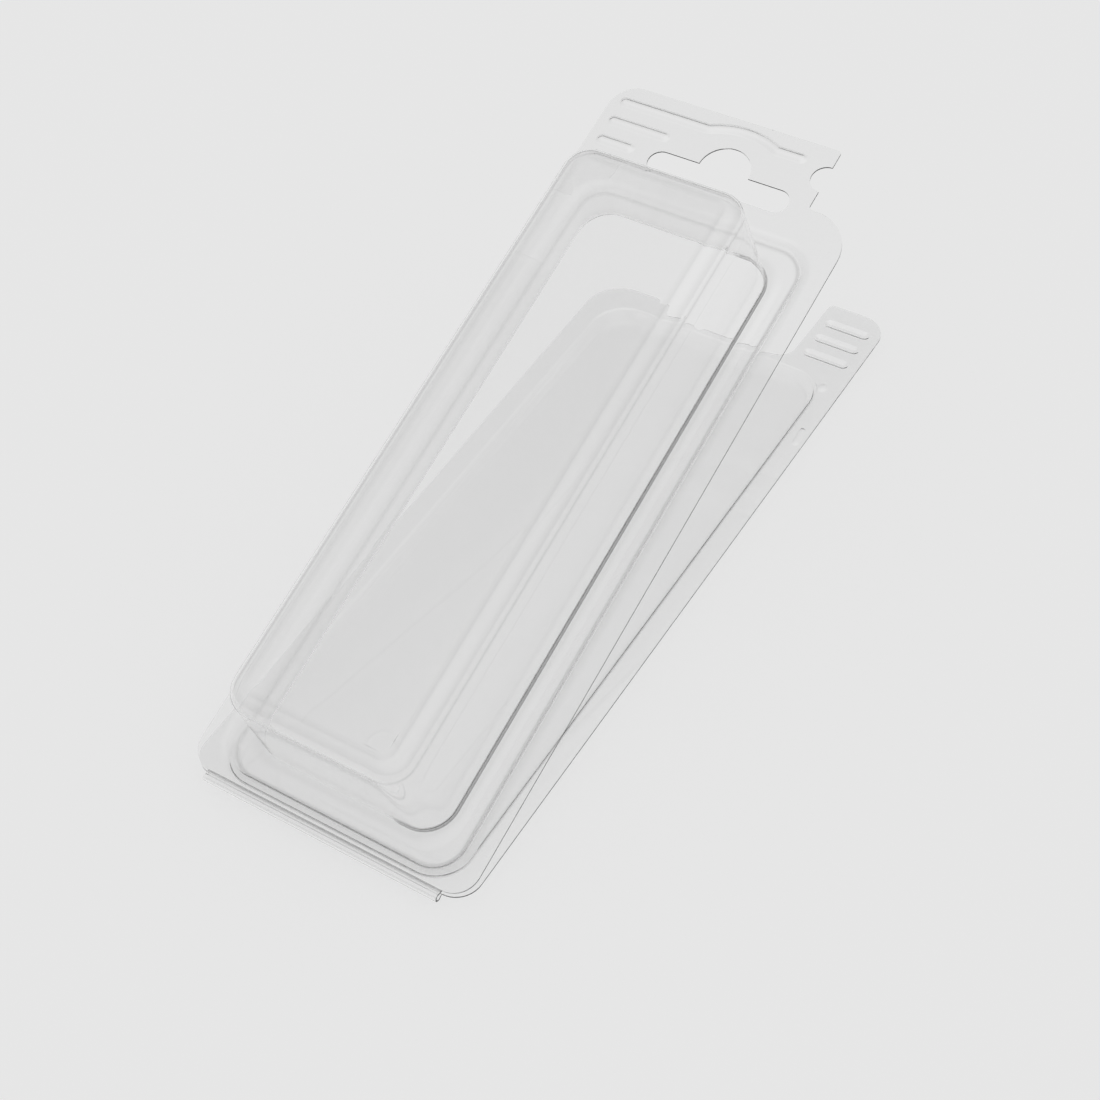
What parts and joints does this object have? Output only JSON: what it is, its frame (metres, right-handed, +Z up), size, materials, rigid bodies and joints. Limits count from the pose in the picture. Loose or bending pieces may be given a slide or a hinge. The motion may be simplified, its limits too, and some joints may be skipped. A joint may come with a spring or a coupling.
{
  "type": "plastic clamshell pack",
  "caption": "Clear thermoformed clamshell pack with a deep blister, a shallow tray half on a folded hinge, a hang tab with a slot and a pull tab.",
  "frame": {"origin": "centre of the flat underside of the tray, where the pack rests", "axes": "+Z up out of the tray, +Y from the hinge towards the hang tab, +X across the pack"},
  "size_m": [0.062, 0.1667, 0.0636],
  "materials": {
    "clear_sheet": "clear glossy formed sheet",
    "hinge_film": "clear glossy folded film"
  },
  "bodies": {
    "back_half": {"back_shell": "clear_sheet", "living_hinge": "hinge_film"},
    "front_half": {"front_shell": "clear_sheet"}
  },
  "joints": [
    {"name": "front_hinge", "type": "hinge", "parent": "back_half", "child": "front_half", "pos_m": [0, -0.0734, 0.00355], "axis": [1, 0, 0], "range_deg": [-15.7, 100], "stiffness_Nm_per_rad": 0.05, "springref_deg": 7.78}
  ]
}
